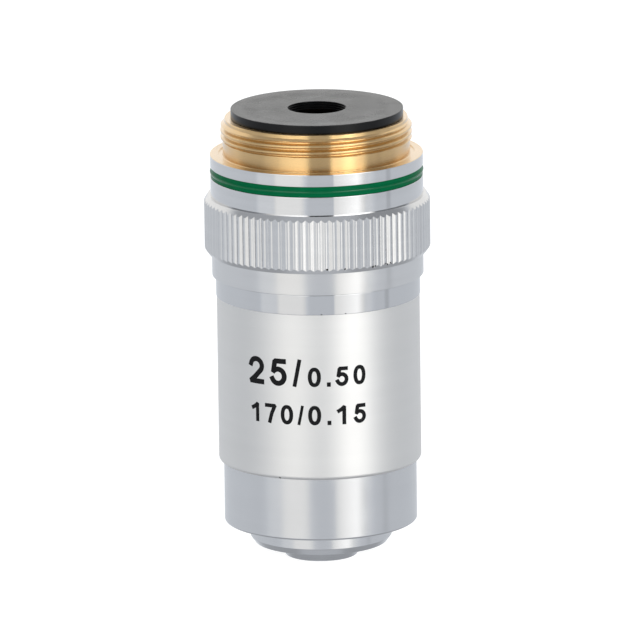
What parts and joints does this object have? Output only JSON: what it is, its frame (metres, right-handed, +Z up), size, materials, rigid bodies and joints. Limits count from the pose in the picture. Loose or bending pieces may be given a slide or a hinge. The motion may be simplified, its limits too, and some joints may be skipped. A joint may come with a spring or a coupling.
{
  "type": "microscope objective",
  "caption": "Microscope objective with a mounting thread, a knurled collar, a satin sleeve and a spring-loaded nose that carries the lenses.",
  "frame": {"origin": "centre of the shoulder that seats on the nosepiece, on the optical axis", "axes": "+Z up the optical axis through the mounting thread, so the front lens points down -Z; +Y towards the guide screw"},
  "size_m": [0.024, 0.024, 0.0488],
  "materials": {
    "thread_brass": "bare machined brass on the thread, neck and shoulder, bright plate on the head",
    "bright_chrome": "bright chrome plate",
    "satin_chrome": "satin chrome plate",
    "green_enamel": "glossy green enamel",
    "black_anodised": "black anodised, satin",
    "inner_brass": "turned brass",
    "screw_steel": "plain steel",
    "spring_steel": "drawn spring wire",
    "cell_black": "blackened brass, dull",
    "lens_glass": "coated optical glass"
  },
  "bodies": {
    "housing": {"mount_body": "thread_brass", "colour_ring": "green_enamel", "rear_stop": "black_anodised", "knurled_collar": "bright_chrome", "outer_sleeve": "satin_chrome", "parfocal_shim": "inner_brass", "guide_screw": "screw_steel", "spring": "spring_steel"},
    "nose": {"nose_shell": "bright_chrome", "lens_barrel": "inner_brass", "stop_ring": "inner_brass", "front_spacer": "inner_brass", "lens_lock_ring": "inner_brass", "middle_cell": "cell_black", "middle_crown": "lens_glass", "middle_flint": "lens_glass", "rear_spacer": "cell_black", "rear_cell": "cell_black", "rear_crown": "lens_glass", "rear_flint": "lens_glass", "front_cell": "bright_chrome", "front_lens": "lens_glass"}
  },
  "joints": [
    {"name": "nose_slide", "type": "slide", "parent": "housing", "child": "nose", "axis": [0, 0, 1], "range_m": [0, 0.0025], "stiffness_N_per_m": 300, "springref_m": -0.007, "deforming": ["spring"]}
  ]
}
